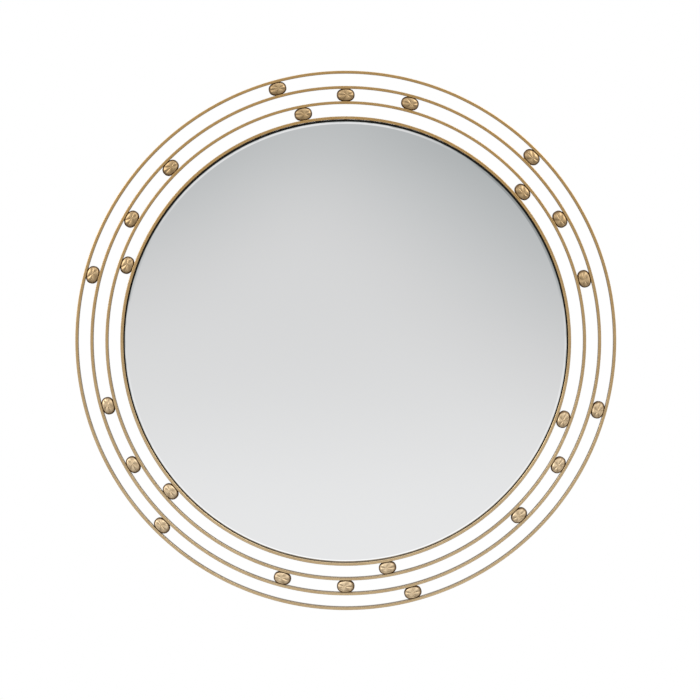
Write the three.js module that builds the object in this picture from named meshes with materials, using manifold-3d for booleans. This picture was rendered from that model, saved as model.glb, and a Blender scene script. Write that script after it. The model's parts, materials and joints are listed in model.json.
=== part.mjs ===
// Round wall mirror in antique brass: a bevelled glass in a deep frame band, with three more
// bands round it that are held one outside the other by cast oval beads. Behind the glass are
// its tape, a backing board on screwed tabs, two hangers with swinging rings, and wall pads.
// Millimetres, +Z up. The front faces -Y, and y = 0 is the wall behind the mirror's centre.

import * as THREE from "three";
import { mergeVertices } from "three/addons/utils/BufferGeometryUtils.js";
import Module from "manifold-3d";

// ---------------------------------------------------------------- driving sizes

const seatGap = 0.3; // between two pieces that rest on, or are brazed to, each other

// Flat bars rolled on edge into four bands
const outerDiameter = 914.4; // over the outermost band
const bandPitch = 25.4; // from one band to the next, centre to centre
const bandWidth = 4.76; // seen from the front
const bandDepth = 12.7; // front to back, on the three free bands
const bandEdge = 0.8; // eased front edges
const bandFacets = 108;
const frameLengths = 3; // bars that are butted end to end in the frame band
const firstJointAngle = 90; // the frame band's first joint; a tab bridges each one

// Cast beads: an oval outline, and a dome with folds that meet at a point off its middle
const beadLength = 30.2; // along the bands
const beadThickness = 16; // front to back
const beadCrown = 0.8; // how much of the oval each band's seat cuts away
const beadFolds = 5;
const foldHeight = 0.9;
const foldShift = 2.4; // from the bead's middle to the point where its folds meet
const outlineSquareness = 2.35; // exponent of the outline: 2 is an ellipse
const domeSquareness = 2.7; // exponent of the dome: higher is flatter, with a steeper side

// Glass
const glassGap = 2; // dark gap round the glass, inside the frame band, were the glass centred
const glassThickness = 5;
const glassRecess = 6; // glass face behind the bands' front
const bevelWidth = 4;
const bevelDrop = 0.5;

// Double-sided tape in upright strips between glass and board, cut to follow the glass
const tapeThickness = 1;
const tapeWidth = 25;
const tapeInset = 20; // from the glass's edge
const tapeSpacing = 150;
const tapeCount = 4;

// Backing board
const boardThickness = 9;
const boardGap = 0.7; // round the board, inside the frame band

// Tabs brazed inside the frame band, which the board is screwed to
const tabThickness = 2;
const tabWidth = 22; // along the band
const tabReach = 19; // inwards from the band
const tabCorner = 5;
const tabCount = 6;
const firstTabAngle = 30; // degrees from +X, as for every angle here

// Pan head screws
const screwShank = 3.5;
const screwHead = 7;
const screwHeadHeight = 2.2;
const screwTip = 2.5; // length of the point
const screwHoleClearance = 0.35; // round a shank
const screwCover = 2; // board left in front of a screw's point

// Strap hangers, each with a swinging ring
const hangerInset = 90; // ring pivots, in from the board's edge
const hangerAngles = { right: 45, left: 135 };
const strapThickness = 1.2; // sheet, folded double round the ring
const strapWidth = 14;
const strapScrewSpacing = 13;
const strapScrewInset = 7.5; // lower screw above the strap's end
const ringWire = 3.2;
const ringReach = 17; // from the pivot to the middle of the ring's crown
const ringCorner = 3; // bend at each foot of a leg
const ringSideGap = 2.4; // from the strap to each leg
const ringScrewGap = 1; // from the ring's crown to the upper screw
const ringJoint = 0.4; // where the wire's two ends meet, inside the strap's eye
const ringPlay = 0.25; // round the wire in the strap's eye

// Rubber pads that stand on the wall
const wallClearance = 0.6; // from the strap's eye to the wall
const padDiameter = 18;
const padTaper = 1.6;
const padEdge = 0.8;
const padInset = 45; // pad centres, in from the board's edge
const padAngles = [60, 120, 240, 300];

// The rows of beads from the innermost gap to the outermost, each with the free band outside it
// and the angles of its beads in the first sector.
const beadSectors = 6;
const beadRows = [
  { band: "inner_band", bead: "inner_bead", angles: [40.5] },
  { band: "middle_band", bead: "middle_bead", angles: [15, 30] },
  { band: "outer_band", bead: "outer_bead", angles: [45] },
];

// ---------------------------------------------------------------- worked-out places

const facetReach = Math.cos(Math.PI / bandFacets); // middle of a band's facet, as a share of its radius
const gapHalf = (bandPitch - bandWidth) / 2;
const outerBandRadius = (outerDiameter - bandWidth) / 2; // to the bar's middle
const frameBandRadius = outerBandRadius - beadRows.length * bandPitch;
const frameInside = frameBandRadius - bandWidth / 2;
const glassRadius = frameInside - glassGap;
const glassDrop = glassGap - seatGap; // the glass stands on the frame band's inside
const boardRadius = frameInside - boardGap;
const tabRoot = frameInside * facetReach - seatGap;

// The ring and its strap, measured from the ring's pivot
const eyeRadius = ringWire / 2 + ringPlay;
const eyeOutside = eyeRadius + strapThickness;
const strapPlate = 2 * strapThickness;
const ringHalf = strapWidth / 2 + ringSideGap + ringWire / 2;
const ringShoulder = ringReach - ringHalf;
const upperStrapScrew = ringReach + ringWire / 2 + ringScrewGap + screwHead / 2;
const strapScrewDrops = [upperStrapScrew, upperStrapScrew + strapScrewSpacing];
const strapLength = strapScrewDrops[1] + strapScrewInset;

// Along Y, from the wall to the front
const wallY = 0;
const boardBack = wallY - wallClearance - 2 * eyeOutside - seatGap;
const boardFront = boardBack - boardThickness;
const tapeBack = boardFront - seatGap;
const glassBack = tapeBack - tapeThickness - seatGap;
const glassFront = glassBack - glassThickness;
const bandFront = glassFront - glassRecess;
const bandBack = bandFront + bandDepth;
const seatBack = boardBack + seatGap; // front face of what lies on the board's back
const tabBack = seatBack + tabThickness;
const strapBack = seatBack + strapPlate;
const pivotY = seatBack + eyeOutside;
const screwPoint = boardFront + screwCover;

// ---------------------------------------------------------------- finishes

const finish = (color, metalness, roughness) =>
  new THREE.MeshStandardMaterial({ color, metalness, roughness });
const brass = finish(0xb08f5c, 1, 0.32);
const silvered = finish(0xc9ccce, 1, 0.03);
const blackBoard = finish(0x1c1b1a, 0, 0.8);
const whiteTape = finish(0xe8e6df, 0, 0.7);
const zinc = finish(0xa9abae, 1, 0.35);
const rubber = finish(0x3a3836, 0, 0.6);

// ---------------------------------------------------------------- shaping tools

const wasm = await Module();
wasm.setup();

function solidOf(geometry) {
  const bare = geometry.clone();
  bare.deleteAttribute("normal");
  bare.deleteAttribute("uv");
  const merged = mergeVertices(bare, 1e-4);
  const vertProperties = merged.attributes.position.array;
  const triVerts = new Uint32Array(merged.index.array);
  return new wasm.Manifold(new wasm.Mesh({ numProp: 3, vertProperties, triVerts }));
}

function geometryOf(solid) {
  const { vertProperties, triVerts } = solid.getMesh();
  const geometry = new THREE.BufferGeometry();
  geometry.setAttribute("position", new THREE.BufferAttribute(vertProperties, 3));
  geometry.setIndex(new THREE.BufferAttribute(triVerts, 1));
  geometry.computeVertexNormals();
  return geometry;
}

const cut = (geometry, tools) =>
  geometryOf(tools.reduce((solid, tool) => solid.subtract(solidOf(tool)), solidOf(geometry)));

const common = (one, other) => geometryOf(solidOf(one).intersect(solidOf(other)));

// A solid of revolution about Y from [radius, y] pairs.
function revolve(profile, facets) {
  const points = profile.map(([radius, y]) => new THREE.Vector2(radius, y));
  return new THREE.LatheGeometry(points, facets);
}

// A round bar along Y between two depths.
function roundBar(diameter, yFront, yBack, facets) {
  const bar = new THREE.CylinderGeometry(diameter / 2, diameter / 2, yBack - yFront, facets);
  return bar.translate(0, (yFront + yBack) / 2, 0);
}

// A plate of an outline drawn in X and Z, from one depth to another.
function plate(outline, yFront, yBack) {
  const options = { depth: yBack - yFront, bevelEnabled: false, curveSegments: 4 };
  return new THREE.ExtrudeGeometry(outline, options).rotateX(Math.PI / 2).translate(0, yBack, 0);
}

// The point at a radius and an angle round the mirror's axis.
function polar(radius, degrees) {
  const angle = THREE.MathUtils.degToRad(degrees);
  return { x: radius * Math.cos(angle), z: radius * Math.sin(angle) };
}

// ---------------------------------------------------------------- assembly

const mirror = new THREE.Group();

function place(name, geometry, material, { x = 0, y = 0, z = 0 } = {}, parent = mirror) {
  const mesh = new THREE.Mesh(geometry, material);
  mesh.name = name;
  mesh.position.set(x, y, z);
  parent.add(mesh);
  return mesh;
}

// A group turned about the mirror's axis, so that its own +Z points outwards at that angle.
function spoke(degrees) {
  const group = new THREE.Group();
  group.rotation.y = THREE.MathUtils.degToRad(90 - degrees);
  mirror.add(group);
  return group;
}

// ---------------------------------------------------------------- bands

function band(radius, back) {
  const inside = radius - bandWidth / 2;
  const outside = radius + bandWidth / 2;
  const profile = [
    [inside, back],
    [inside, bandFront + bandEdge],
    [inside + bandEdge, bandFront],
    [outside - bandEdge, bandFront],
    [outside, bandFront + bandEdge],
    [outside, back],
    [inside, back],
  ];
  return revolve(profile, bandFacets);
}

// A wedge from the mirror's axis outwards, half a seat gap short on each side.
function wedge(start, end, yFront, yBack) {
  const middle = (start + end) / 2;
  const half = THREE.MathUtils.degToRad((end - start) / 2);
  const tip = polar(seatGap / 2 / Math.sin(half), middle);
  const rays = [start, middle, end].map((degrees) => polar(outerDiameter, degrees));
  const corners = [tip, ...rays.map(({ x, z }) => ({ x: tip.x + x, z: tip.z + z }))];
  const outline = new THREE.Shape(corners.map(({ x, z }) => new THREE.Vector2(x, z)));
  return plate(outline, yFront, yBack);
}

const frameRing = band(frameBandRadius, tabBack);
for (let i = 0; i < frameLengths; i++) {
  const start = firstJointAngle + (360 / frameLengths) * i;
  const sector = wedge(start, start + 360 / frameLengths, bandFront - seatGap, wallY);
  place(`frame_band_${i + 1}`, common(frameRing, sector), brass);
}
beadRows.forEach((row, n) => {
  place(row.band, band(frameBandRadius + (n + 1) * bandPitch, bandBack), brass);
});

// ---------------------------------------------------------------- beads

// How far the bead's outline lies from its middle, in a direction measured from the bands' run.
function beadRim(around) {
  const along = Math.abs(Math.cos(around)) / (beadLength / 2);
  const across = Math.abs(Math.sin(around)) / (gapHalf + beadCrown);
  const sum = Math.pow(along, outlineSquareness) + Math.pow(across, outlineSquareness);
  return Math.pow(sum, -1 / outlineSquareness);
}

// One bead in its own frame: X along the bands, Z outwards, front towards -Y. The points of a
// sphere are drawn out to the oval dome, raised into folds on the front, and pressed flat where
// they would pass the band on either side.
function bead(gapRadius) {
  const geometry = new THREE.SphereGeometry(1, 3 * beadFolds, 8);
  const vertices = geometry.attributes.position;
  const point = new THREE.Vector3();
  const seatLow = gapRadius - gapHalf + seatGap;
  const seatHigh = (gapRadius + gapHalf) * facetReach - seatGap;
  for (let i = 0; i < vertices.count; i++) {
    point.fromBufferAttribute(vertices, i);
    const around = Math.atan2(point.z, point.x);
    const out = Math.pow(Math.min(1, Math.hypot(point.x, point.z)), 2 / domeSquareness);
    const depth = Math.sign(point.y) * Math.pow(Math.abs(point.y), 2 / domeSquareness);
    const fold = point.y < 0 ? 4 * out * (1 - out) * foldHeight : 0;
    const x = Math.cos(around) * beadRim(around) * out + foldShift * (1 - out);
    const y = (depth * beadThickness) / 2 + fold * Math.cos(beadFolds * around);
    const z = Math.sin(around) * beadRim(around) * out;
    const low = Math.sqrt(seatLow * seatLow - x * x) - gapRadius;
    const high = Math.sqrt(seatHigh * seatHigh - x * x) - gapRadius;
    vertices.setXYZ(i, x, y, THREE.MathUtils.clamp(z, low, high));
  }
  return geometry;
}

beadRows.forEach((row, n) => {
  const gapRadius = frameBandRadius + (n + 0.5) * bandPitch;
  const seat = { y: bandFront + bandDepth / 2, z: gapRadius };
  for (let i = 0; i < beadSectors * row.angles.length; i++) {
    const sector = Math.floor(i / row.angles.length);
    const angle = (360 / beadSectors) * sector + row.angles[i % row.angles.length];
    place(`${row.bead}_${i + 1}`, bead(gapRadius), brass, seat, spoke(angle));
  }
});

// ---------------------------------------------------------------- glass and tape

const glassProfile = [
  [0, glassFront],
  [glassRadius - bevelWidth, glassFront],
  [glassRadius, glassFront + bevelDrop],
  [glassRadius, glassBack],
  [0, glassBack],
];
place("mirror_glass", revolve(glassProfile, bandFacets), silvered, { z: -glassDrop });

for (let i = 0; i < tapeCount; i++) {
  const x = (i - (tapeCount - 1) / 2) * tapeSpacing;
  const edge = Math.abs(x) + tapeWidth / 2;
  const length = 2 * Math.sqrt((glassRadius - tapeInset) ** 2 - edge ** 2);
  const strip = new THREE.BoxGeometry(tapeWidth, tapeThickness, length);
  const spot = { x, y: tapeBack - tapeThickness / 2, z: -glassDrop };
  place(`tape_strip_${i + 1}`, strip, whiteTape, spot);
}

// ---------------------------------------------------------------- board

const tabAngles = Array.from({ length: tabCount }, (_, i) => firstTabAngle + (360 / tabCount) * i);
const tabScrews = tabAngles.map((degrees) => polar(frameInside - tabReach / 2, degrees));
const hangers = Object.entries(hangerAngles).map(([side, degrees]) => {
  const { x, z } = polar(boardRadius - hangerInset, degrees);
  return { side, x, z, screws: strapScrewDrops.map((drop) => ({ x, z: z - drop })) };
});

function pilotHole({ x, z }) {
  const diameter = screwShank + 2 * screwHoleClearance;
  return roundBar(diameter, screwPoint - screwHoleClearance, wallY, 8).translate(x, 0, z);
}

const pilotHoles = [...tabScrews, ...hangers.flatMap(({ screws }) => screws)].map(pilotHole);
const disc = roundBar(2 * boardRadius, boardFront, boardBack, bandFacets);
place("backing_board", cut(disc, pilotHoles), blackBoard);

// ---------------------------------------------------------------- tabs

// A tab in its spoke's frame, lying on the board's back with its root rounded to the band.
function tab() {
  const half = tabWidth / 2;
  const spread = Math.asin(half / tabRoot);
  const tip = frameInside - tabReach;
  const outline = new THREE.Shape();
  outline.absarc(0, 0, tabRoot, Math.PI / 2 - spread, Math.PI / 2 + spread);
  outline.lineTo(-half, tip + tabCorner);
  outline.absarc(-half + tabCorner, tip + tabCorner, tabCorner, Math.PI, 1.5 * Math.PI);
  outline.lineTo(half - tabCorner, tip);
  outline.absarc(half - tabCorner, tip + tabCorner, tabCorner, 1.5 * Math.PI, 2 * Math.PI);
  outline.closePath();
  const hole = new THREE.Path();
  const holeRadius = screwShank / 2 + screwHoleClearance;
  hole.absarc(0, frameInside - tabReach / 2, holeRadius, 0, 2 * Math.PI, true);
  outline.holes.push(hole);
  return plate(outline, seatBack, tabBack);
}

tabAngles.forEach((degrees, i) => {
  place(`board_tab_${i + 1}`, tab(), brass, {}, spoke(degrees));
});

// ---------------------------------------------------------------- screws

// A pan head screw along Y, whose head sits on the face at seatY and whose point is in the board.
function screw(seatY) {
  const head = screwHead / 2;
  const shank = screwShank / 2;
  const under = seatY + seatGap;
  const profile = [
    [0, screwPoint],
    [shank, screwPoint + screwTip],
    [shank, under],
    [head, under],
    [head, under + screwHeadHeight * 0.35],
    [head * 0.75, under + screwHeadHeight * 0.85],
    [0, under + screwHeadHeight],
  ];
  return revolve(profile, 8);
}

tabScrews.forEach((spot, i) => {
  place(`tab_screw_${i + 1}`, screw(tabBack), zinc, spot);
});

// ---------------------------------------------------------------- hangers

// A strap folded double round an eye, in a frame whose origin is the ring's pivot: its side view
// is drawn with X up the wall and Y away from the board, and cut to a round-ended plan.
function strap() {
  const leave = Math.asin((eyeOutside - strapPlate) / eyeOutside);
  const side = new THREE.Shape();
  side.moveTo(-strapLength, -eyeOutside);
  side.lineTo(0, -eyeOutside);
  side.absarc(0, 0, eyeOutside, -Math.PI / 2, Math.PI + leave);
  side.lineTo(-strapLength, strapPlate - eyeOutside);
  side.closePath();
  const eye = new THREE.Path();
  eye.absarc(0, 0, eyeRadius, 0, 2 * Math.PI, true);
  side.holes.push(eye);
  const options = { depth: strapWidth, bevelEnabled: false, curveSegments: 8 };
  const folded = new THREE.ExtrudeGeometry(side, options)
    .translate(0, 0, -strapWidth / 2)
    .rotateY(-Math.PI / 2);

  const half = strapWidth / 2;
  const plan = new THREE.Shape();
  plan.moveTo(half, 2 * eyeOutside);
  plan.lineTo(-half, 2 * eyeOutside);
  plan.absarc(0, half - strapLength, half, Math.PI, 2 * Math.PI);
  plan.closePath();
  const rounded = common(folded, plate(plan, -2 * eyeOutside, 2 * eyeOutside));

  const holes = strapScrewDrops.map((drop) => {
    const diameter = screwShank + 2 * screwHoleClearance;
    return roundBar(diameter, -2 * eyeOutside, eyeOutside, 8).translate(0, 0, -drop);
  });
  return cut(rounded, holes);
}

// The line through the middle of a hanging ring's wire: from the joint in its bar, round one leg,
// the crown and the other leg, and back to the joint. The pivot is at the origin.
class RingLine extends THREE.Curve {
  constructor() {
    super();
    const foot = ringHalf - ringCorner;
    this.path = new THREE.Path();
    this.path.moveTo(-ringJoint / 2, 0);
    this.path.lineTo(-foot, 0);
    this.path.absarc(-foot, -ringCorner, ringCorner, Math.PI / 2, Math.PI);
    this.path.lineTo(-ringHalf, -ringShoulder);
    this.path.absarc(0, -ringShoulder, ringHalf, Math.PI, 2 * Math.PI);
    this.path.lineTo(ringHalf, -ringCorner);
    this.path.absarc(foot, -ringCorner, ringCorner, 0, Math.PI / 2);
    this.path.lineTo(ringJoint / 2, 0);
  }

  getPoint(t, target = new THREE.Vector3()) {
    const { x, y } = this.path.getPointAt(t);
    return target.set(x, 0, y);
  }
}

function ring() {
  const section = new THREE.Shape();
  section.absarc(0, 0, ringWire / 2, 0, 2 * Math.PI);
  const options = { extrudePath: new RingLine(), steps: 34, curveSegments: 4 };
  return new THREE.ExtrudeGeometry(section, options);
}

// A ring at rest leans out from its pivot by as much as its crown lies on the strap.
const crownLift = strapBack + seatGap + ringWire / 2 - pivotY;
const crownDrop = ringShoulder + Math.sqrt(ringHalf ** 2 - (strapWidth / 2) ** 2);
const ringLean = Math.asin(crownLift / crownDrop);

hangers.forEach(({ side, x, z, screws }) => {
  const pivot = { x, y: pivotY, z };
  place(`${side}_hanger_strap`, strap(), zinc, pivot);
  place(`${side}_hanging_ring`, ring(), zinc, pivot).rotation.x = ringLean;
  screws.forEach((spot, i) => {
    place(`${side}_hanger_screw_${i + 1}`, screw(strapBack), zinc, spot);
  });
});

// ---------------------------------------------------------------- wall pads

const padFoot = padDiameter / 2;
const padTop = padFoot - padTaper;
const padProfile = [
  [0, seatBack],
  [padFoot, seatBack],
  [padTop, wallY - padEdge],
  [padTop - padEdge, wallY],
  [0, wallY],
];
padAngles.forEach((degrees, i) => {
  const spot = polar(boardRadius - padInset, degrees);
  place(`wall_pad_${i + 1}`, revolve(padProfile, 16), rubber, spot);
});

export default mirror;
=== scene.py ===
import json
import math

import bmesh
import bpy
from mathutils import Matrix, Vector


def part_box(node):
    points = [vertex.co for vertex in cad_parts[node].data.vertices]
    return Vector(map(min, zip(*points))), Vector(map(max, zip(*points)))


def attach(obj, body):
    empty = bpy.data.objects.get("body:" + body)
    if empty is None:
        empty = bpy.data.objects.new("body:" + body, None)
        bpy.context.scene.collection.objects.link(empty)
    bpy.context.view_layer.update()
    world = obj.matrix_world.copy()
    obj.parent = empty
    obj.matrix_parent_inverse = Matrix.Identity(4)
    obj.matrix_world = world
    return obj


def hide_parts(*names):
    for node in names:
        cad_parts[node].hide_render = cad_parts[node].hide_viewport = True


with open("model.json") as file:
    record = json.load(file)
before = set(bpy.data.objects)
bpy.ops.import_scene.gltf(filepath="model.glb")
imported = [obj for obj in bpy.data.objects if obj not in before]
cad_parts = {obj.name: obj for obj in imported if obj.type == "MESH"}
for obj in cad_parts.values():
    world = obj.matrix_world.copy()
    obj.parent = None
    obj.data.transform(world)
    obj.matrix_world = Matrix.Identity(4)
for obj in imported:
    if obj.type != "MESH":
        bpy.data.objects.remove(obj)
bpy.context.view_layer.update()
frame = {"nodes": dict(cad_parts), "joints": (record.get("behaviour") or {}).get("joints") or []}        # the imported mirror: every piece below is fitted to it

scene = bpy.context.scene
print("frame loaded:", len(frame["nodes"]), "nodes")


# Camera, taken from how much of the bands' walls shows at the top, the sides and the bottom
cameraPlace = {
    "distance": 4.4, "azimuth": 0.2, "elevation": 4.6, "aimX": 0.0072, "aimZ": -0.0147,
    "lens": 133.0, "sensor": 36, "nearest": 0.05, "farthest": 50,
}


def placeCamera(place):
    turn, lift = math.radians(place["azimuth"]), math.radians(place["elevation"])
    back = Vector((math.sin(turn) * math.cos(lift), -math.cos(turn) * math.cos(lift), math.sin(lift)))
    data = bpy.data.cameras.new("camera")
    data.lens = place["lens"]
    data.sensor_width = place["sensor"]
    data.clip_start, data.clip_end = place["nearest"], place["farthest"]
    camera = bpy.data.objects.new("camera", data)
    scene.collection.objects.link(camera)
    aim = Vector((place["aimX"], 0, place["aimZ"]))
    camera.location = aim + back * place["distance"]
    camera.rotation_euler = (-back).to_track_quat("-Z", "Y").to_euler()
    scene.camera = camera


placeCamera(cameraPlace)
scene.view_settings.view_transform = "Standard"
print("camera placed")


# Small helpers for node trees
def addNode(tree, kind, x, y, inputs=None, **fields):
    node = tree.nodes.new(kind)
    node.location = (x, y)
    for name, value in fields.items():
        setattr(node, name, value)
    for name, value in (inputs or {}).items():
        if isinstance(value, bpy.types.NodeSocket):
            tree.links.new(value, node.inputs[name])
        else:
            node.inputs[name].default_value = value
    return node


def mathNode(tree, x, y, operation, first, second=0.0, third=0.0, clamp=False):
    inputs = {0: first, 1: second, 2: third}
    return addNode(tree, "ShaderNodeMath", x, y, inputs, operation=operation, use_clamp=clamp).outputs[0]


def rangeNode(tree, x, y, value, fromLow, fromHigh, toLow=0.0, toHigh=1.0, kind="SMOOTHSTEP"):
    inputs = {"Value": value, "From Min": fromLow, "From Max": fromHigh, "To Min": toLow, "To Max": toHigh}
    return addNode(tree, "ShaderNodeMapRange", x, y, inputs, interpolation_type=kind).outputs["Result"]


def mixColours(tree, x, y, share, first, second):
    inputs = {0: share}
    for index, value in ((6, first), (7, second)):
        inputs[index] = value if isinstance(value, bpy.types.NodeSocket) else (*value, 1)
    return addNode(tree, "ShaderNodeMix", x, y, inputs, data_type="RGBA").outputs[2]


# Lays colours over a base, one after another, each by its own mask
def layerColours(tree, x, y, colour, layers):
    for i, (mask, tone) in enumerate(layers):
        colour = mixColours(tree, x + 180 * i, y, mask, colour, tone)
    return colour


def noiseNode(tree, x, y, vector, scale, detail=3.0, roughness=0.55):
    inputs = {"Vector": vector, "Scale": scale, "Detail": detail, "Roughness": roughness}
    return addNode(tree, "ShaderNodeTexNoise", x, y, inputs).outputs["Fac"]


def splitVector(tree, x, y, vector):
    return addNode(tree, "ShaderNodeSeparateXYZ", x, y, {0: vector}).outputs


def startGroup(name, inputs, outputs):
    group = bpy.data.node_groups.new(name, "ShaderNodeTree")
    for label, kind, value in inputs:
        socket = group.interface.new_socket(name=label, in_out="INPUT", socket_type=kind)
        if value is not None:
            socket.default_value = value
    for label in outputs:
        group.interface.new_socket(name=label, in_out="OUTPUT", socket_type="NodeSocketFloat")
    given = addNode(group, "NodeGroupInput", -900, 0).outputs
    result = addNode(group, "NodeGroupOutput", 600, 0).inputs
    return group, given, result


# Worn metal where an edge stands out, broken up by noise
def buildEdgeWear():
    group, given, result = startGroup("edgeWear", [
        ("Vector", "NodeSocketVector", None),
        ("Amount", "NodeSocketFloat", 1.0),
        ("Breakup Scale", "NodeSocketFloat", 300.0),
    ], ["Mask"])
    sharpness = addNode(group, "ShaderNodeNewGeometry", -700, 200).outputs["Pointiness"]
    edges = rangeNode(group, -400, 200, sharpness, 0.505, 0.56)
    breakup = noiseNode(group, -650, -100, given["Vector"], given["Breakup Scale"])
    breakup = rangeNode(group, -400, -100, breakup, 0.3, 0.62)
    worn = mathNode(group, -100, 100, "MULTIPLY", edges, breakup)
    worn = mathNode(group, 150, 100, "MULTIPLY", worn, given["Amount"], clamp=True)
    group.links.new(worn, result["Mask"])
    return group


# Soft clouds of tarnish, and small dark spots that come in patches
def buildTarnish():
    group, given, result = startGroup("tarnish", [
        ("Vector", "NodeSocketVector", None),
        ("Cloud Scale", "NodeSocketFloat", 25.0),
        ("Spot Scale", "NodeSocketFloat", 420.0),
        ("Amount", "NodeSocketFloat", 0.5),
    ], ["Clouds", "Spots"])
    vector, amount = given["Vector"], given["Amount"]
    clouds = noiseNode(group, -650, 200, vector, given["Cloud Scale"], 5.0, 0.6)
    clouds = rangeNode(group, -350, 200, clouds, 0.36, 0.68)
    fine = noiseNode(group, -650, -50, vector, given["Spot Scale"], 2.0)
    fine = rangeNode(group, -350, -50, fine, 0.58, 0.74)
    patches = noiseNode(group, -650, -300, vector, 55.0, 2.0)
    patches = rangeNode(group, -350, -300, patches, 0.45, 0.65)
    spots = mathNode(group, -100, -100, "MULTIPLY", fine, patches)
    group.links.new(mathNode(group, 150, 200, "MULTIPLY", clouds, amount), result["Clouds"])
    group.links.new(mathNode(group, 150, -100, "MULTIPLY", spots, amount), result["Spots"])
    return group


# Dust on what faces up
def buildDust():
    group, given, result = startGroup("settledDust", [
        ("Vector", "NodeSocketVector", None),
        ("Amount", "NodeSocketFloat", 0.3),
    ], ["Mask"])
    normal = addNode(group, "ShaderNodeNewGeometry", -800, 200).outputs["Normal"]
    lies = rangeNode(group, -350, 200, splitVector(group, -600, 200, normal)["Z"], 0.15, 0.95)
    specks = noiseNode(group, -650, -100, given["Vector"], 700.0, 4.0, 0.7)
    specks = rangeNode(group, -350, -100, specks, 0.35, 0.75, 0.25, 1.0)
    settled = mathNode(group, -100, 100, "MULTIPLY", lies, specks)
    group.links.new(mathNode(group, 150, 100, "MULTIPLY", settled, given["Amount"]), result["Mask"])
    return group


# Fine lines that run round the mirror's axis, as on rolled bar that was brushed along its length
def buildRoundBrushing():
    group, given, result = startGroup("roundBrushing", [
        ("Vector", "NodeSocketVector", None),
        ("Across", "NodeSocketFloat", 2600.0),
        ("Along", "NodeSocketFloat", 24.0),
    ], ["Height"])
    parts = splitVector(group, -700, 0, given["Vector"])
    angle = mathNode(group, -500, 150, "ARCTAN2", parts["Z"], parts["X"])
    squares = mathNode(group, -500, -50, "MULTIPLY", parts["X"], parts["X"])
    squares = mathNode(group, -300, -50, "MULTIPLY_ADD", parts["Z"], parts["Z"], squares)
    radius = mathNode(group, -100, -50, "SQRT", squares)
    lines = addNode(group, "ShaderNodeCombineXYZ", 100, 50, {
        "X": mathNode(group, -100, 150, "MULTIPLY", angle, given["Along"]),
        "Y": mathNode(group, -100, -200, "MULTIPLY", radius, given["Across"]),
        "Z": mathNode(group, -100, -350, "MULTIPLY", parts["Y"], given["Across"]),
    })
    group.links.new(noiseNode(group, 300, 50, lines.outputs[0], 1.0, 2.0), result["Height"])
    return group


edgeWear = buildEdgeWear()
tarnish = buildTarnish()
settledDust = buildDust()
roundBrushing = buildRoundBrushing()
print("shared effects built")


def startFinish(name):
    finish = bpy.data.materials.new(name)
    finish.use_nodes = True
    tree = finish.node_tree
    shader = tree.nodes["Principled BSDF"]
    shader.location = (700, 0)
    tree.nodes["Material Output"].location = (1000, 0)
    where = addNode(tree, "ShaderNodeTexCoord", -1100, 0).outputs["Object"]
    return finish, tree, shader, where


def useGroup(tree, group, x, y, **values):
    inputs = {name.replace("_", " "): value for name, value in values.items()}
    return addNode(tree, "ShaderNodeGroup", x, y, inputs, node_tree=group).outputs


def feedShader(tree, shader, colour, roughness, metallic=0):
    tree.links.new(colour, shader.inputs["Base Color"])
    tree.links.new(roughness, shader.inputs["Roughness"])
    shader.inputs["Metallic"].default_value = metallic


def addBump(tree, shader, height, strength, distance):
    inputs = {"Height": height, "Strength": strength, "Distance": distance}
    bump = addNode(tree, "ShaderNodeBump", 450, -400, inputs)
    tree.links.new(bump.outputs["Normal"], shader.inputs["Normal"])


# Aged brass: bars and tabs are rolled and brushed, beads are cast. Both turn paler towards the bottom,
# which is painted light; the bars' and tabs' side walls carry painted shade, and the beads painted shade
# down their sides, between their folds and by the bands
brassTones = {
    "bar": (0.545, 0.335, 0.125),
    # painted light: the paler tone that the lower bars are given
    "barPaintedLit": (0.645, 0.48, 0.275),
    "worn": (0.86, 0.67, 0.40),
    "tarnished": (0.40, 0.25, 0.105),
    # painted shade on the side walls of the bars and tabs
    "wall": (0.33, 0.23, 0.135),
    "cast": (0.57, 0.405, 0.22),
    # painted light: the paler tone that the lower beads are given
    "castPaintedLit": (0.90, 0.71, 0.47),
    "castWorn": (0.90, 0.76, 0.53),
    # the colour of the bars' dark tarnish spots, and of the painted shade on the beads
    "spotsAndPaintedShade": (0.135, 0.080, 0.036),
    "dust": (0.62, 0.58, 0.52),
    "barPaintedLightHeights": (0.35, -0.40),        # heights between which the tone turns paler towards the bottom: painted light
    "castPaintedLightHeights": (0.25, -0.30),
}


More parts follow.
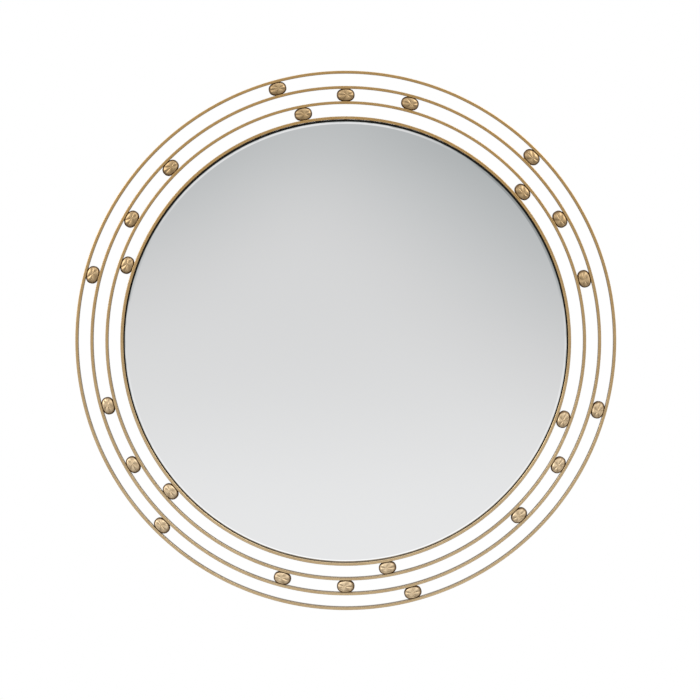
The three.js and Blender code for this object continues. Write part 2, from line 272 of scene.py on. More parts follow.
def makeBarBrass():
    finish, tree, shader, where = startFinish("agedBarBrass")
    age = useGroup(
        tree, tarnish, -700, 300, Vector=where, Cloud_Scale=14.0, Spot_Scale=500.0, Amount=0.26)
    wear = useGroup(tree, edgeWear, -700, 0, Vector=where, Amount=0.22, Breakup_Scale=120.0)
    dust = useGroup(tree, settledDust, -700, -250, Vector=where, Amount=0.10)
    brushing = useGroup(tree, roundBrushing, -700, -500, Vector=where)["Height"]
    # painted light: the tone turns paler from the top of the mirror to its bottom
    height = splitVector(tree, -900, 500, where)["Z"]
    paintedLight = rangeNode(tree, -700, 550, height, *brassTones["barPaintedLightHeights"])
    tone = mixColours(tree, -450, 500, paintedLight, brassTones["bar"], brassTones["barPaintedLit"])
    # painted shade: the wall tone where the surface turns away from the front, on the bars' and tabs' side
    # walls
    normal = addNode(tree, "ShaderNodeNewGeometry", -1100, 750).outputs["Normal"]
    facing = mathNode(tree, -800, 900, "ABSOLUTE", splitVector(tree, -900, 750, normal)["Y"])
    wallShade = rangeNode(tree, -700, 750, facing, 0.55, 0.10, 0.0, 0.85)
    colour = layerColours(tree, -350, 300, tone, [
        (age["Clouds"], brassTones["tarnished"]),
        (wallShade, brassTones["wall"]),
        (age["Spots"], brassTones["spotsAndPaintedShade"]),
        (wear["Mask"], brassTones["worn"]),
        (dust["Mask"], brassTones["dust"]),
    ])
    dull = mathNode(tree, 0, -50, "MULTIPLY_ADD", age["Clouds"], 0.16, 0.27)
    dull = mathNode(tree, 200, -50, "MULTIPLY_ADD", brushing, 0.05, dull)
    feedShader(tree, shader, colour, dull, metallic=1)
    addBump(tree, shader, brushing, 0.05, 0.0003)
    return finish


def makeCastBrass():
    finish, tree, shader, where = startFinish("agedCastBrass")
    # painted shade, stored on each bead: on its rim, in its fold valleys and where it meets the bands
    spotsAndPaintedShade = addNode(tree, "ShaderNodeAttribute", -1100, 500, attribute_name="spotsAndPaintedShade").outputs["Fac"]
    age = useGroup(
        tree, tarnish, -700, 300, Vector=where, Cloud_Scale=70.0, Spot_Scale=700.0, Amount=0.2)
    wear = useGroup(tree, edgeWear, -700, 0, Vector=where, Amount=0.2, Breakup_Scale=150.0)
    dust = useGroup(tree, settledDust, -700, -250, Vector=where, Amount=0.08)
    skin = noiseNode(tree, -700, -500, where, 1100.0, 4.0, 0.6)
    # painted light: the tone turns paler towards the bottom of the mirror
    height = splitVector(tree, -900, 700, where)["Z"]
    paintedLight = rangeNode(tree, -750, 700, height, *brassTones["castPaintedLightHeights"])
    tone = mixColours(tree, -600, 600, paintedLight, brassTones["cast"], brassTones["castPaintedLit"])
    colour = layerColours(tree, -400, 300, tone, [
        (age["Clouds"], brassTones["bar"]),
        (age["Spots"], brassTones["tarnished"]),
        (spotsAndPaintedShade, brassTones["spotsAndPaintedShade"]),
        (wear["Mask"], brassTones["castWorn"]),
        (dust["Mask"], brassTones["dust"]),
    ])
    dull = mathNode(tree, 0, -50, "MULTIPLY_ADD", spotsAndPaintedShade, 0.16, 0.34)
    dull = mathNode(tree, 200, -50, "MULTIPLY_ADD", skin, 0.08, dull)
    feedShader(tree, shader, colour, dull, metallic=1)
    addBump(tree, shader, skin, 0.012, 0.0004)
    return finish


# The silvered face: nearly clean, with a faint haze and a trace of grey where the silver meets the edge
silver = {"clear": (0.870, 0.876, 0.882), "edge": (0.52, 0.54, 0.55), "edgeFrom": -0.0002, "edgeTo": 0.0020}


def makeMirrorFinish(middle, rimRadius):
    finish, tree, shader, where = startFinish("silveredGlass")
    fromMiddle = addNode(
        tree, "ShaderNodeVectorMath", -1000, 350, {0: where, 1: middle}, operation="SUBTRACT").outputs[0]
    parts = splitVector(tree, -900, 200, fromMiddle)
    flat = addNode(tree, "ShaderNodeCombineXYZ", -700, 200, {"X": parts["X"], "Z": parts["Z"]}).outputs[0]
    radius = addNode(
        tree, "ShaderNodeVectorMath", -500, 200, {0: flat}, operation="LENGTH").outputs["Value"]
    ragged = noiseNode(tree, -500, 0, where, 60.0)
    ragged = mathNode(tree, -300, 100, "MULTIPLY_ADD", ragged, 0.004, radius)
    rim = rangeNode(
        tree, -100, 200, ragged, rimRadius + silver["edgeFrom"], rimRadius + silver["edgeTo"])
    haze = rangeNode(tree, -300, -200, noiseNode(tree, -500, -200, where, 7.0, 6.0, 0.7), 0.45, 0.8)
    specks = rangeNode(tree, -300, -450, noiseNode(tree, -500, -450, where, 900.0, 2.0), 0.74, 0.8)
    colour = mixColours(tree, 150, 200, rim, silver["clear"], silver["edge"])
    dull = mathNode(tree, 0, -200, "MULTIPLY_ADD", haze, 0.018, 0.012)
    dull = mathNode(tree, 200, -200, "MULTIPLY_ADD", specks, 0.05, dull)
    feedShader(tree, shader, colour, dull, metallic=1)
    return finish


groundEdge = {"dark": (0.09, 0.13, 0.115), "pale": (0.17, 0.23, 0.20)}


def makeGlassEdge():
    finish, tree, shader, where = startFinish("groundGlassEdge")
    streaks = noiseNode(tree, -400, 100, where, 900.0, 3.0)
    share = rangeNode(tree, -200, 100, streaks, 0.3, 0.7)
    colour = mixColours(tree, 0, 100, share, groundEdge["dark"], groundEdge["pale"])
    feedShader(tree, shader, colour, rangeNode(tree, 0, -100, streaks, 0.3, 0.7, 0.18, 0.34))
    addBump(tree, shader, streaks, 0.2, 0.0002)
    return finish


# Fibreboard rolled with matt black paint
blackPaint = {
    "dark": (0.0105, 0.0100, 0.0095), "pale": (0.024, 0.0225, 0.021),
    "scuff": (0.085, 0.080, 0.075), "dust": (0.30, 0.29, 0.27),
}


def makeBoardPaint():
    finish, tree, shader, where = startFinish("mattBlackPaint")
    stipple = noiseNode(tree, -700, 200, where, 650.0, 3.0)
    fibres = noiseNode(tree, -700, -50, where, 90.0, 6.0, 0.7)
    dust = useGroup(tree, settledDust, -700, -300, Vector=where, Amount=0.5)
    stretched = addNode(
        tree, "ShaderNodeMapping", -900, 500,
        {"Vector": where, "Rotation": (0, 0.9, 0), "Scale": (3, 3, 90)}).outputs[0]
    scuffs = noiseNode(tree, -700, 500, stretched, 6.0, 3.0, 0.6)
    scuffs = rangeNode(tree, -450, 500, scuffs, 0.66, 0.74)
    share = rangeNode(tree, -450, 0, fibres, 0.3, 0.75)
    paint = mixColours(tree, -200, 200, share, blackPaint["dark"], blackPaint["pale"])
    colour = layerColours(tree, 0, 250, paint, [
        (mathNode(tree, -200, 500, "MULTIPLY", scuffs, 0.35), blackPaint["scuff"]),
        (dust["Mask"], blackPaint["dust"]),
    ])
    feedShader(tree, shader, colour, rangeNode(tree, 0, -100, fibres, 0.3, 0.75, 0.52, 0.72))
    addBump(tree, shader, stipple, 0.35, 0.0004)
    return finish


foam = {"clean": (0.80, 0.79, 0.75), "grimy": (0.62, 0.60, 0.55)}


def makeFoamTape():
    finish, tree, shader, where = startFinish("foamTape")
    cells = addNode(
        tree, "ShaderNodeTexVoronoi", -500, 100, {"Vector": where, "Scale": 2200.0}).outputs["Distance"]
    grime = noiseNode(tree, -500, -150, where, 60.0, 4.0)
    share = rangeNode(tree, -250, -100, grime, 0.35, 0.75)
    colour = mixColours(tree, 0, 100, share, foam["clean"], foam["grimy"])
    feedShader(tree, shader, colour, rangeNode(tree, 0, -100, grime, 0.3, 0.7, 0.7, 0.9))
    addBump(tree, shader, cells, 0.4, 0.0002)
    return finish


# Bright zinc plate on screws, straps and rings
zinc = {
    "bright": (0.62, 0.635, 0.65), "grey": (0.53, 0.54, 0.55), "clouded": (0.40, 0.40, 0.39),
    "spotted": (0.24, 0.22, 0.20), "worn": (0.78, 0.79, 0.80), "dust": (0.55, 0.54, 0.52),
}


def makeZinc():
    finish, tree, shader, where = startFinish("zincPlate")
    crystals = addNode(
        tree, "ShaderNodeTexVoronoi", -700, 300, {"Vector": where, "Scale": 900.0}).outputs["Distance"]
    age = useGroup(
        tree, tarnish, -700, 0, Vector=where, Cloud_Scale=180.0, Spot_Scale=900.0, Amount=0.45)
    wear = useGroup(tree, edgeWear, -700, -250, Vector=where, Amount=0.6, Breakup_Scale=500.0)
    dust = useGroup(tree, settledDust, -700, -450, Vector=where, Amount=0.12)
    share = rangeNode(tree, -500, 300, crystals, 0.1, 0.8)
    plate = mixColours(tree, -300, 200, share, zinc["bright"], zinc["grey"])
    colour = layerColours(tree, -100, 200, plate, [
        (age["Clouds"], zinc["clouded"]),
        (age["Spots"], zinc["spotted"]),
        (wear["Mask"], zinc["worn"]),
        (dust["Mask"], zinc["dust"]),
    ])
    dull = mathNode(tree, 0, -50, "MULTIPLY_ADD", age["Clouds"], 0.30, 0.28)
    feedShader(tree, shader, colour, dull, metallic=1)
    addBump(tree, shader, crystals, 0.06, 0.0003)
    return finish


rubber = {"dark": (0.036, 0.034, 0.032), "bloom": (0.075, 0.072, 0.068), "dust": (0.30, 0.29, 0.27)}


def makeRubber():
    finish, tree, shader, where = startFinish("padRubber")
    grain = noiseNode(tree, -600, 100, where, 1500.0, 3.0)
    bloom = noiseNode(tree, -600, -150, where, 130.0, 4.0)
    dust = useGroup(tree, settledDust, -600, -350, Vector=where, Amount=0.35)
    share = rangeNode(tree, -350, -100, bloom, 0.35, 0.75)
    colour = mixColours(tree, -100, 100, share, rubber["dark"], rubber["bloom"])
    colour = mixColours(tree, 150, 100, dust["Mask"], colour, rubber["dust"])
    feedShader(tree, shader, colour, rangeNode(tree, 0, -100, grain, 0.3, 0.7, 0.55, 0.75))
    addBump(tree, shader, grain, 0.3, 0.0003)
    return finish


barBrass = makeBarBrass()
castBrass = makeCastBrass()
glassLow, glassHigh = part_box("mirror_glass")
glassMiddle = Vector((0, 0, (glassLow.z + glassHigh.z) / 2))
glassRim = glassHigh.x
silveredGlass = makeMirrorFinish(glassMiddle, glassRim)
glassEdge = makeGlassEdge()
boardPaint = makeBoardPaint()
foamTape = makeFoamTape()
zincPlate = makeZinc()
padRubber = makeRubber()
print("finishes made")


# Turns a bmesh into a piece on its body, in place of the CAD nodes that it stands for
def finishPiece(name, bm, finishes, nodes, body="frame", sharpAngle=35):
    limit = math.radians(sharpAngle)
    for edge in bm.edges:
        edge.smooth = len(edge.link_faces) == 2 and edge.calc_face_angle(0) < limit
    for face in bm.faces:
        face.smooth = True
    mesh = bpy.data.meshes.new(name)
    bm.to_mesh(mesh)
    bm.free()
    for finish in finishes:
        mesh.materials.append(finish)
    piece = bpy.data.objects.new(name, mesh)
    scene.collection.objects.link(piece)
    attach(piece, body)
    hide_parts(*nodes)
    return piece


# True at a corner of the profile, give or take the few micrometres that the spin's steps add up to
def isOnRim(vert, radius, y, slack=2e-5):
    return abs(math.hypot(vert.co.x, vert.co.z) - radius) < slack and abs(vert.co.y - y) < slack


# A closed round body about the Y axis from (radius, y, easing) corners, or a length of one from angle
# start to angle end
def turnProfile(corners, steps, segments=3, start=0, end=360):
    whole = end - start >= 360
    bm = bmesh.new()
    onAxis = [radius == 0 for radius, y, easing in corners]
    points = [bm.verts.new((radius, y, 0)) for radius, y, easing in corners]
    count = len(points)
    for i in range(count):
        if not (onAxis[i] and onAxis[(i + 1) % count]):
            bm.edges.new((points[i], points[(i + 1) % count]))
    bmesh.ops.spin(
        bm, geom=bm.verts[:] + bm.edges[:], cent=(0, 0, 0), axis=(0, 1, 0),
        angle=math.radians(end - start), steps=steps, use_merge=whole)
    bmesh.ops.remove_doubles(bm, verts=bm.verts, dist=1e-7)
    if not whole:
        bmesh.ops.holes_fill(bm, edges=[edge for edge in bm.edges if edge.is_boundary], sides=0)
    for easing in sorted({e for radius, y, e in corners if e > 0}, reverse=True):
        rims = [(radius, y) for radius, y, e in corners if e == easing]
        edges = [
            edge for edge in bm.edges
            if any(all(isOnRim(vert, radius, y) for vert in edge.verts) for radius, y in rims)
        ]
        bmesh.ops.bevel(
            bm, geom=edges, offset=easing, offset_type="OFFSET", segments=segments,
            profile=0.5, affect="EDGES", material=-1)
    bmesh.ops.transform(bm, matrix=Matrix.Rotation(-math.radians(end), 4, "Y"), verts=bm.verts)
    bmesh.ops.recalc_face_normals(bm, faces=bm.faces)
    return bm


# Bands of flat bar on edge, with softened corners. The frame band is three lengths, butted end to end.
bars = {
    "width": 0.00476, "frontEase": 0.0008, "backEase": 0.0004, "steps": 288,
    "firstJoint": 90, "jointGap": 0.00006,
}
bandPieces = {
    "frame_band": {
        "frameBand1": "frame_band_1", "frameBand2": "frame_band_2", "frameBand3": "frame_band_3",
    },
    "inner_band": {"innerBand": "inner_band"},
    "middle_band": {"middleBand": "middle_band"},
    "outer_band": {"outerBand": "outer_band"},
}
bandInside, bandOutside = {}, {}
for ring, lengths in bandPieces.items():
    for i, (pieceName, node) in enumerate(lengths.items()):
        low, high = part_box(node)
        outside = max(-low.x, high.x, -low.z, high.z)
        inside = outside - bars["width"]
        bandInside[ring], bandOutside[ring] = inside, outside
        share = 360 / len(lengths)
        short = math.degrees(bars["jointGap"] / outside) if len(lengths) > 1 else 0
        start = bars["firstJoint"] + share * i
        bar = turnProfile([
            (inside, low.y, bars["frontEase"]),
            (outside, low.y, bars["frontEase"]),
            (outside, high.y, bars["backEase"]),
            (inside, high.y, bars["backEase"]),
        ], bars["steps"] // len(lengths), start=start + short, end=start + share - short)
        finishPiece(pieceName, bar, [barBrass], [node])
print("bands made")


# Cast beads: a domed oval with folds that run together at a point off its middle.
# The last rows say how dark its painted shade is: down its sides, between the folds and by the bands.
beads = {
    "length": 0.0302, "thickness": 0.016, "crown": 0.0008, "middleY": -0.02225, "overlap": 0.00004,
    "outlineSquareness": 2.35, "domeSquareness": 2.7, "round": 60, "rise": 26,
    "folds": 5, "lobes": [1.0, 0.4, 1.1, 0.55, 0.9], "foldHeight": 0.00055, "foldShift": 0.0024,
    "fanning": 1.9,
    "sideDark": 0.95, "sideFrom": 0.70, "sideReach": 0.17, "foldDark": 0.5,
    "seatDark": 0.9, "nearSeatDark": 0.85, "nearSeatReach": 0.0011,
}
beadTurns = 6        # each row's angles come six times round the mirror
beadRows = {
    "inner": {"inside": "frame_band", "outside": "inner_band", "angles": [40.5]},
    "middle": {"inside": "inner_band", "outside": "middle_band", "angles": [15, 30]},
    "outer": {"inside": "middle_band", "outside": "outer_band", "angles": [45]},
}


def shapeBead(lowSeat, highSeat):
    bm = bmesh.new()
    bmesh.ops.create_uvsphere(
        bm, u_segments=beads["round"], v_segments=beads["rise"], radius=1,
        matrix=Matrix.Rotation(math.pi / 2, 4, "X"))
    # how much painted shade each point of the bead gets
    spotsAndPaintedShade = bm.verts.layers.float.new("spotsAndPaintedShade")
    middle = (lowSeat + highSeat) / 2
    halfAcross = (highSeat - lowSeat) / 2 + beads["crown"]
    halfLength = beads["length"] / 2
    outlinePower, domePower = beads["outlineSquareness"], 2 / beads["domeSquareness"]
    for vert in bm.verts:
        x, y, z = vert.co
        around = math.atan2(z, x)
        out = min(1, math.hypot(x, z)) ** domePower        # 0 at the crown, 1 at the rim
        depth = math.copysign(abs(y) ** domePower, y)
        along = (abs(math.cos(around)) / halfLength) ** outlinePower
        across = (abs(math.sin(around)) / halfAcross) ** outlinePower
        rim = (along + across) ** (-1 / outlinePower)
        fanned = math.atan2(math.sin(around) * beads["fanning"], math.cos(around))
        turn = fanned * beads["folds"] / (2 * math.pi)
        lobe = beads["lobes"][int(math.floor(turn + 0.5)) % beads["folds"]]
        valley = math.sin(math.pi * turn) ** 2
        fold = 4 * out * (1 - out) * beads["foldHeight"] if y < 0 else 0
        px = math.cos(around) * rim * out + beads["foldShift"] * (1 - out)
        py = depth * beads["thickness"] / 2 - fold * (1 - 2 * valley * lobe)
        pz = math.sin(around) * rim * out
        lowZ = math.sqrt(lowSeat ** 2 - px ** 2) - middle - beads["overlap"]
        highZ = math.sqrt(highSeat ** 2 - px ** 2) - middle + beads["overlap"]
        # painted shade: dark where the sides turn away, in the fold valleys, and by the bands that the bead
        # is clamped between
        near = max(0.0, 1 - min(abs(pz - lowZ), abs(highZ - pz)) / beads["nearSeatReach"])
        side = min(1.0, max(0.0, (out - beads["sideFrom"]) / beads["sideReach"]))
        vert[spotsAndPaintedShade] = max(
            beads["sideDark"] * side,
            beads["foldDark"] * valley ** 2 * fold / beads["foldHeight"],
            beads["nearSeatDark"] * near if lowZ <= pz <= highZ else beads["seatDark"],
        )
        vert.co = (px, py, min(max(pz, lowZ), highZ))
    bmesh.ops.recalc_face_normals(bm, faces=bm.faces)
    return bm


for rowName, row in beadRows.items():
    lowSeat, highSeat = bandOutside[row["inside"]], bandInside[row["outside"]]
    lift = Matrix.Translation((0, beads["middleY"], (lowSeat + highSeat) / 2))
    angles = [360 / beadTurns * turn + angle for turn in range(beadTurns) for angle in row["angles"]]
    for i, degrees in enumerate(angles):
        bead = shapeBead(lowSeat, highSeat)
        turned = Matrix.Rotation(math.radians(90 - degrees), 4, "Y") @ lift
        bmesh.ops.transform(bead, matrix=turned, verts=bead.verts)
        name, nodes = f"{rowName}Bead{i + 1}", [f"{rowName}_bead_{i + 1}"]
        piece = finishPiece(name, bead, [castBrass], nodes, sharpAngle=70)
        finer = piece.modifiers.new("finer", "SUBSURF")
        finer.levels = finer.render_levels = 1
print("beads made")


# The glass: bevelled front, ground edge
glass = {"bevel": 0.004, "drop": 0.0005, "arris": 0.0004, "steps": 288, "edgeBand": 0.0003}
glassBody = turnProfile([
    (0, glassLow.y, 0),
    (glassRim - glass["bevel"], glassLow.y, 0),
    (glassRim, glassLow.y + glass["drop"], glass["arris"]),
    (glassRim, glassHigh.y, glass["arris"]),
    (0, glassHigh.y, 0),
], glass["steps"], segments=2)
for face in glassBody.faces:
    middle = face.calc_center_median()
    if math.hypot(middle.x, middle.z) > glassRim - glass["edgeBand"] or face.normal.y > 0.5:
        face.material_index = 1
bmesh.ops.translate(glassBody, verts=glassBody.verts, vec=glassMiddle)
finishPiece("mirrorGlass", glassBody, [silveredGlass, glassEdge], ["mirror_glass"], sharpAngle=3)
print("glass made")


# Tabs and straps: the CAD solids with their corners softened
tabs = {"easing": 0.0003, "count": 6}
straps = {"easing": 0.00025}
sides = ("left", "right")


def softenNode(name, node, finish, easing):
    bm = bmesh.new()
    bm.from_mesh(frame["nodes"][node].data)
    bmesh.ops.remove_doubles(bm, verts=bm.verts, dist=1e-6)
    bmesh.ops.dissolve_limit(bm, angle_limit=math.radians(1), verts=bm.verts, edges=bm.edges)
    edges = [edge for edge in bm.edges if edge.calc_face_angle(0) > math.radians(40)]
    bmesh.ops.bevel(
        bm, geom=edges, offset=easing, offset_type="OFFSET", segments=2,
        profile=0.5, affect="EDGES", material=-1, clamp_overlap=True)
    for face in bm.faces:
        face.material_index = 0
    finishPiece(name, bm, [finish], [node])


for i in range(tabs["count"]):
    softenNode(f"boardTab{i + 1}", f"board_tab_{i + 1}", barBrass, tabs["easing"])
for side in sides:
    softenNode(f"{side}HangerStrap", f"{side}_hanger_strap", zincPlate, straps["easing"])
print("tabs and straps made")


# Pan head screws with a cross recess
screws = {
    "head": 0.007, "rise": 0.0022, "seatGap": 0.0003, "dome": 0.60, "domeSquareness": 5,
    "shank": 0.0035, "tip": 0.0025, "point": 0.02,
    "cells": 9, "recessReach": 0.62, "recessDepth": 0.0015, "recessTaper": 0.82,
}


def shapeScrew(centre, seatY, backY, frontY):
    bm = bmesh.new()
    bmesh.ops.create_grid(bm, x_segments=screws["cells"], y_segments=screws["cells"], size=1)
    half = 1.05 / screws["cells"]        # just over half a cell, for the cross's arms
    cross = []
    for face in bm.faces:
        x, z = (abs(c) for c in face.calc_center_median().xy)
        if min(x, z) < half and max(x, z) < screws["recessReach"]:
            cross.append(face)
    sunk = bmesh.ops.extrude_face_region(bm, geom=cross)["geom"]
    sunkVerts = {item for item in sunk if isinstance(item, bmesh.types.BMVert)}
    border = [edge for edge in bm.edges if edge.is_boundary]
    radius = screws["head"] / 2
    for vert in bm.verts:
        x, z = vert.co.x, vert.co.y
        px, pz = x * math.sqrt(1 - z * z / 2), z * math.sqrt(1 - x * x / 2)        # square to round
        reach = min(1, math.hypot(px, pz))
        y = backY - (backY - seatY) * screws["dome"] * reach ** screws["domeSquareness"]
        if vert in sunkVerts:
            px, pz = px * screws["recessTaper"], pz * screws["recessTaper"]
            y = backY - screws["recessDepth"]
        vert.co = (px * radius, y, pz * radius)
    neck = screws["shank"] / screws["head"]
    for scale, y in ((1, seatY), (neck, seatY), (neck, frontY + screws["tip"]), (screws["point"], frontY)):
        grown = bmesh.ops.extrude_edge_only(bm, edges=border)["geom"]
        border = [item for item in grown if isinstance(item, bmesh.types.BMEdge)]
        for vert in {v for edge in border for v in edge.verts}:
            flat = Vector((vert.co.x, 0, vert.co.z)).normalized() * radius * scale
            vert.co = (flat.x, y, flat.z)
    bmesh.ops.holes_fill(bm, edges=border, sides=0)
    bmesh.ops.translate(bm, verts=bm.verts, vec=centre)
    bmesh.ops.recalc_face_normals(bm, faces=bm.faces)
    return bm


screwNodes = {f"tabScrew{i + 1}": f"tab_screw_{i + 1}" for i in range(tabs["count"])}
for side in sides:
    for i in (1, 2):
        screwNodes[f"{side}HangerScrew{i}"] = f"{side}_hanger_screw_{i}"
for pieceName, node in screwNodes.items():
    low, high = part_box(node)
    centre = Vector(((low.x + high.x) / 2, 0, (low.z + high.z) / 2))
    seatY = high.y - screws["rise"] - screws["seatGap"]
    screw = shapeScrew(centre, seatY, high.y, low.y)
    finishPiece(pieceName, screw, [zincPlate], [node], sharpAngle=40)
print("screws made")


# Hanging rings: round wire bent to a long D, its two ends meeting in the strap's eye
rings = {
    "wire": 0.0016, "half": 0.011, "shoulder": 0.006, "corner": 0.003, "joint": 0.0002, "lean": 4.94,
    "sides": 16, "cornerSteps": 8, "loopSteps": 32,
}


def shapeRing(pivot):
    bm = bmesh.new()
    bmesh.ops.create_circle(
        bm, cap_ends=False, segments=rings["sides"], radius=rings["wire"],
        matrix=Matrix.Translation((-rings["joint"], 0, 0)) @ Matrix.Rotation(math.pi / 2, 4, "Y"))
    foot, corner, shoulder = rings["half"] - rings["corner"], rings["corner"], rings["shoulder"]

    def runOn(edges, step):
        grown = bmesh.ops.extrude_edge_only(bm, edges=edges)["geom"]
        moved = [item for item in grown if isinstance(item, bmesh.types.BMVert)]
        bmesh.ops.translate(bm, verts=moved, vec=step)
        return [item for item in grown if isinstance(item, bmesh.types.BMEdge)]

    def bendOn(edges, centre, angle, steps):
        turned = bmesh.ops.spin(bm, geom=edges, cent=centre, axis=(0, 1, 0), angle=angle, steps=steps)
        return [item for item in turned["geom_last"] if isinstance(item, bmesh.types.BMEdge)]

    end = runOn(bm.edges[:], (rings["joint"] - foot, 0, 0))
    end = bendOn(end, (-foot, 0, -corner), -math.pi / 2, rings["cornerSteps"])
    end = runOn(end, (0, 0, corner - shoulder))
    end = bendOn(end, (0, 0, -shoulder), -math.pi, rings["loopSteps"])
    end = runOn(end, (0, 0, shoulder - corner))
    end = bendOn(end, (foot, 0, -corner), -math.pi / 2, rings["cornerSteps"])
    runOn(end, (rings["joint"] - foot, 0, 0))
    bmesh.ops.remove_doubles(bm, verts=bm.verts, dist=1e-7)
    bmesh.ops.holes_fill(bm, edges=[edge for edge in bm.edges if edge.is_boundary], sides=0)
    bmesh.ops.recalc_face_normals(bm, faces=bm.faces)
    turn = Matrix.Translation(pivot) @ Matrix.Rotation(math.radians(rings["lean"]), 4, "X")
    bmesh.ops.transform(bm, matrix=turn, verts=bm.verts)
    return bm


for joint in frame["joints"]:
    side = joint["name"].split("_")[0]
    ring = shapeRing(Vector(joint["pos_m"]))
    nodes = [f"{side}_hanging_ring"]
    finishPiece(f"{side}HangingRing", ring, [zincPlate], nodes, body=joint["child"])
print("rings made")


# Wall pads
pads = {"taper": 0.0016, "edge": 0.0008, "footEdge": 0.0003, "steps": 48, "count": 4}
for i in range(pads["count"]):
    low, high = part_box(f"wall_pad_{i + 1}")
    foot = (high.x - low.x) / 2
    pad = turnProfile([
        (0, low.y, 0),
        (foot, low.y, pads["footEdge"]),
        (foot - pads["taper"], high.y, pads["edge"]),
        (0, high.y, 0),
    ], pads["steps"])
    bmesh.ops.translate(pad, verts=pad.verts, vec=((low.x + high.x) / 2, 0, (low.z + high.z) / 2))
    finishPiece(f"wallPad{i + 1}", pad, [padRubber], [f"wall_pad_{i + 1}"])
print("pads made")


# The board: the CAD solid with its rim close to the frame band, so that no light comes past it
board = {"rimDepth": 0.0015, "play": 0.0001}


def shapeBoard():
    bm = bmesh.new()
    bm.from_mesh(frame["nodes"]["backing_board"].data)
    bmesh.ops.remove_doubles(bm, verts=bm.verts, dist=1e-6)
    low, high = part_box("backing_board")
    target = bandInside["frame_band"] - board["play"]
    for vert in bm.verts:
        radius = math.hypot(vert.co.x, vert.co.z)
        if radius > high.x - board["rimDepth"]:
            vert.co.x *= target / radius
            vert.co.z *= target / radius
    for face in bm.faces:
        face.material_index = 0
    return bm


finishPiece("backingBoard", shapeBoard(), [boardPaint], ["backing_board"])
print("board made")


# The tape keeps its CAD solids
tapes = {"count": 4}
for i in range(tapes["count"]):
    for materialSlot in frame["nodes"][f"tape_strip_{i + 1}"].material_slots:
        materialSlot.material = foamTape
print("tape finished")


# Floor, well below the mirror
floor = {
    "radius": 1.25, "drop": 1.15, "steps": 96, "pale": (0.84, 0.84, 0.83), "shade": (0.80, 0.80, 0.795),
    "roughness": 0.8,
}


def makeFloor():
    finish, tree, shader, where = startFinish("paleFloor")
    cloud = noiseNode(tree, -400, 0, where, 3.0, 4.0)
    colour = mixColours(tree, 0, 0, cloud, floor["pale"], floor["shade"])
    tree.links.new(colour, shader.inputs["Base Color"])
    shader.inputs["Roughness"].default_value = floor["roughness"]
    bm = bmesh.new()
    bmesh.ops.create_circle(bm, cap_ends=True, segments=floor["steps"], radius=floor["radius"])
    bmesh.ops.translate(bm, verts=bm.verts, vec=(0, 0, -floor["drop"]))
    mesh = bpy.data.meshes.new("floor")
    bm.to_mesh(mesh)
    bm.free()
    mesh.materials.append(finish)
    piece = bpy.data.objects.new("floor", mesh)
    scene.collection.objects.link(piece)
    piece.visible_glossy = False


makeFloor()


# Studio: white behind the mirror for the camera, and soft light all round for its surfaces.
# "rise" is the light ahead of the mirror by height, "round" the light by degrees from straight ahead,
# "blend" the degrees between which the first gives way to the second, "lowToHigh" what the second is
# multiplied by from "reach" below to "reach" above, and "spots" are dim parts of the room ahead as
# (x, z, reach, share). Where the light ahead falls from "coolBelow" to "coolest", it turns to "cool".
studio = {
    "backdrop": 1.0, "strength": 1.0, "cool": (0.945, 0.99, 1.0), "coolBelow": 0.74, "coolest": 0.45,
    "rise": [
        (-0.45, 1.18), (-0.40, 1.16), (-0.30, 1.03), (-0.20, 0.93), (-0.16, 0.917), (-0.138, 0.90),
        (-0.115, 0.856), (-0.092, 0.81), (-0.069, 0.783), (-0.045, 0.765), (-0.022, 0.727), (0.0, 0.656),
        (0.012, 0.63), (0.06, 0.64), (0.15, 0.80), (0.22, 0.88), (0.30, 0.88),
    ],
    "round": [
        (0, 0.80), (26, 0.95), (32, 0.78), (42, 0.56), (60, 0.66), (75, 1.40), (90, 2.00), (103, 1.50),
        (118, 0.35), (140, 0.22), (155, 0.36), (168, 0.56), (180, 0.60),
    ],
    "blend": (26, 33), "reach": 0.7, "lowToHigh": (0.62, 1.36),
    "spots": [(0.164, 0.081, 0.227, 0.90), (-0.114, 0.03, 0.12, 0.355)],
}


def addCurve(tree, x, y, value, points):
    node = addNode(tree, "ShaderNodeFloatCurve", x, y, {"Value": value})
    curve = node.mapping.curves[0]
    curve.points[0].location = points[0]
    curve.points[1].location = points[-1]
    for point in points[1:-1]:
        curve.points.new(*point)
    node.mapping.extend = "HORIZONTAL"
    node.mapping.update()
    return node.outputs[0]


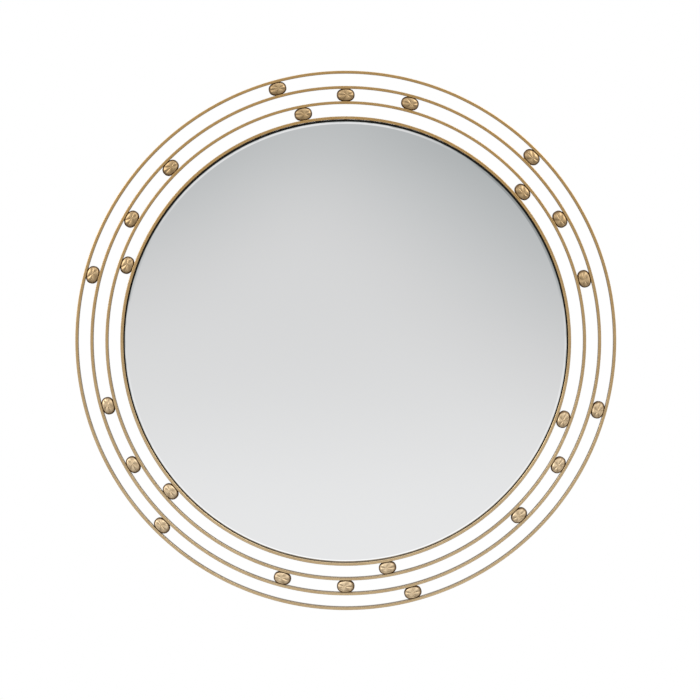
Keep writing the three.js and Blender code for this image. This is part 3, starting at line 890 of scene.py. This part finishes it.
# A curve's values lie between 0 and 1, so light is kept at half its level until the tree's end
def lightStudio():
    world = bpy.data.worlds.new("studio")
    scene.world = world
    world.use_nodes = True
    tree = world.node_tree
    tree.nodes.clear()
    direction = addNode(tree, "ShaderNodeTexCoord", -1600, 0).outputs["Generated"]
    parts = splitVector(tree, -1400, 0, direction)
    lowest, highest = studio["rise"][0][0], studio["rise"][-1][0]
    span = highest - lowest
    height = mathNode(tree, -1250, 300, "MULTIPLY_ADD", parts["Z"], 1 / span, -lowest / span)
    points = [((z - lowest) / span, level / 2) for z, level in studio["rise"]]
    ahead = addCurve(tree, -1100, 300, height, points)
    flat = addNode(tree, "ShaderNodeCombineXYZ", -1250, -150, {"X": parts["X"], "Y": parts["Z"]}).outputs[0]
    for i, (x, z, reach, share) in enumerate(studio["spots"]):
        away = addNode(
            tree, "ShaderNodeVectorMath", -1050, -150 - 200 * i, {0: flat, 1: (x, z, 0)},
            operation="DISTANCE").outputs["Value"]
        dim = rangeNode(tree, -850, -150 - 200 * i, away, 0.0, reach, 1 - share, 1.0)
        ahead = mathNode(tree, -600, 150 - 200 * i, "MULTIPLY", ahead, dim)
    turned = mathNode(tree, -1200, -400, "MULTIPLY", parts["Y"], -1.0)
    turned = mathNode(tree, -1000, -400, "ARCCOSINE", turned)
    turned = mathNode(tree, -850, -400, "MULTIPLY", turned, 1 / math.pi)
    points = [(degrees / 180, level / 2) for degrees, level in studio["round"]]
    allRound = addCurve(tree, -650, -400, turned, points)
    lean = rangeNode(tree, -650, -650, parts["Z"], -studio["reach"], studio["reach"], *studio["lowToHigh"])
    allRound = mathNode(tree, -500, -400, "MULTIPLY", allRound, lean)
    blend = rangeNode(tree, -450, -150, turned, *(degrees / 180 for degrees in studio["blend"]))
    inputs = {0: blend, 2: ahead, 3: allRound}
    level = addNode(tree, "ShaderNodeMix", -300, 0, inputs, data_type="FLOAT").outputs[0]
    level = mathNode(tree, -150, 0, "MULTIPLY", level, 2 * studio["strength"])
    cool = rangeNode(tree, -300, 450, ahead, studio["coolBelow"] / 2, studio["coolest"] / 2, kind="LINEAR")
    tint = mixColours(tree, -100, 350, cool, (1, 1, 1), studio["cool"])
    inputs = {0: tint, "Scale": level}
    tinted = addNode(tree, "ShaderNodeVectorMath", 50, 250, inputs, operation="SCALE").outputs[0]
    surfaces = addNode(tree, "ShaderNodeBackground", 200, 100, {"Color": tinted}).outputs[0]
    inputs = {"Color": (1, 1, 1, 1), "Strength": studio["backdrop"]}
    backdrop = addNode(tree, "ShaderNodeBackground", 50, -150, inputs).outputs[0]
    seen = addNode(tree, "ShaderNodeLightPath", 50, 400).outputs["Is Camera Ray"]
    both = addNode(tree, "ShaderNodeMixShader", 300, 0, {0: seen, 1: surfaces, 2: backdrop}).outputs[0]
    addNode(tree, "ShaderNodeOutputWorld", 500, 0, {"Surface": both})


lightStudio()

softboxes = {
    "keyLight": {"place": (-2.5, -1.1, 1.0), "size": 2.0, "power": 26},
    "fillLight": {"place": (1.9, -1.2, 1.9), "size": 2.0, "power": 22},
}
for lightName, box in softboxes.items():
    data = bpy.data.lights.new(lightName, "AREA")
    data.shape = "DISK"
    data.size = box["size"]
    data.energy = box["power"]
    light = bpy.data.objects.new(lightName, data)
    scene.collection.objects.link(light)
    light.location = box["place"]
    light.rotation_euler = Vector(box["place"]).to_track_quat("Z", "Y").to_euler()
    light.visible_camera = False
print("studio lit")
